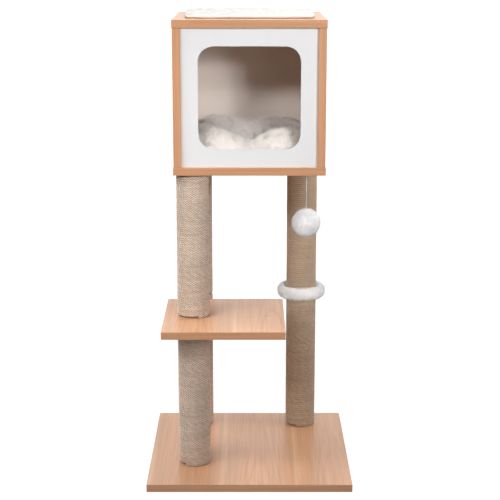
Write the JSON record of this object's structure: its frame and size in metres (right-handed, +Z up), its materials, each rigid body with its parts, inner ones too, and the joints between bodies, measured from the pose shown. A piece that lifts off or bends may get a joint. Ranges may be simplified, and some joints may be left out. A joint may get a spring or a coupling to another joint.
{
  "type": "cat scratcher",
  "caption": "Cat scratcher with rope-wound posts on a square base, a side shelf, a boxed cabin with a rounded opening, plush cushions and a hanging pompon.",
  "frame": {"origin": "middle of the base board's underside", "axes": "+Z up along the posts, -Y towards the front with the cabin's opening, +X to the right seen from the front"},
  "size_m": [0.424, 0.424, 0.9643],
  "materials": {
    "beech_laminate": "satin beech-look laminate on chipboard",
    "white_panel": "satin white fibreboard",
    "sisal": "wound natural sisal rope",
    "cardboard": "spiral-wound cardboard tube",
    "birch": "raw turned wood",
    "zinc_steel": "zinc plated",
    "cream_plush": "cream plush",
    "white_plush": "white long-haired plush",
    "white_cotton": "white twisted string"
  },
  "bodies": {
    "stand": {"base_board": "beech_laminate", "shelf_board": "beech_laminate", "roof_board": "beech_laminate", "floor_board": "beech_laminate", "left_wall": "beech_laminate", "right_wall": "beech_laminate", "front_panel": "white_panel", "back_panel": "white_panel", "sisal_rope_front_left_lower": "sisal", "tube_front_left_lower": "cardboard", "bottom_plug_front_left_lower": "birch", "top_plug_front_left_lower": "birch", "sisal_rope_front_left_upper": "sisal", "tube_front_left_upper": "cardboard", "bottom_plug_front_left_upper": "birch", "top_plug_front_left_upper": "birch", "base_bolt_front_left": "zinc_steel", "cabin_bolt_front_left": "zinc_steel", "joining_stud_front_left": "zinc_steel", "sisal_rope_back_left_lower": "sisal", "tube_back_left_lower": "cardboard", "bottom_plug_back_left_lower": "birch", "top_plug_back_left_lower": "birch", "sisal_rope_back_left_upper": "sisal", "tube_back_left_upper": "cardboard", "bottom_plug_back_left_upper": "birch", "top_plug_back_left_upper": "birch", "base_bolt_back_left": "zinc_steel", "cabin_bolt_back_left": "zinc_steel", "joining_stud_back_left": "zinc_steel", "sisal_rope_back_right_lower": "sisal", "tube_back_right_lower": "cardboard", "bottom_plug_back_right_lower": "birch", "top_plug_back_right_lower": "birch", "sisal_rope_back_right_upper": "sisal", "tube_back_right_upper": "cardboard", "bottom_plug_back_right_upper": "birch", "top_plug_back_right_upper": "birch", "base_bolt_back_right": "zinc_steel", "cabin_bolt_back_right": "zinc_steel", "joining_stud_back_right": "zinc_steel", "floor_dowel_left_front": "birch", "floor_dowel_left_back": "birch", "floor_dowel_right_front": "birch", "floor_dowel_right_back": "birch", "roof_dowel_left_front": "birch", "roof_dowel_left_back": "birch", "roof_dowel_right_front": "birch", "roof_dowel_right_back": "birch", "roof_cushion": "cream_plush", "bed_cushion": "cream_plush", "plush_collar": "white_plush", "string_anchor": "white_cotton"},
    "string_link": {"string_knot": "white_cotton"},
    "pompon": {"pompon": "white_plush", "pompon_string": "white_cotton"}
  },
  "joints": [
    {"name": "pompon_swing_fore_aft", "type": "hinge", "parent": "stand", "child": "string_link", "pos_m": [0.117, -0.083, 0.6412], "axis": [1, 0, 0], "range_deg": [-50, 50]},
    {"name": "pompon_swing_sideways", "type": "hinge", "parent": "string_link", "child": "pompon", "pos_m": [0.117, -0.083, 0.6412], "axis": [0, 1, 0], "range_deg": [-50, 50]}
  ]
}
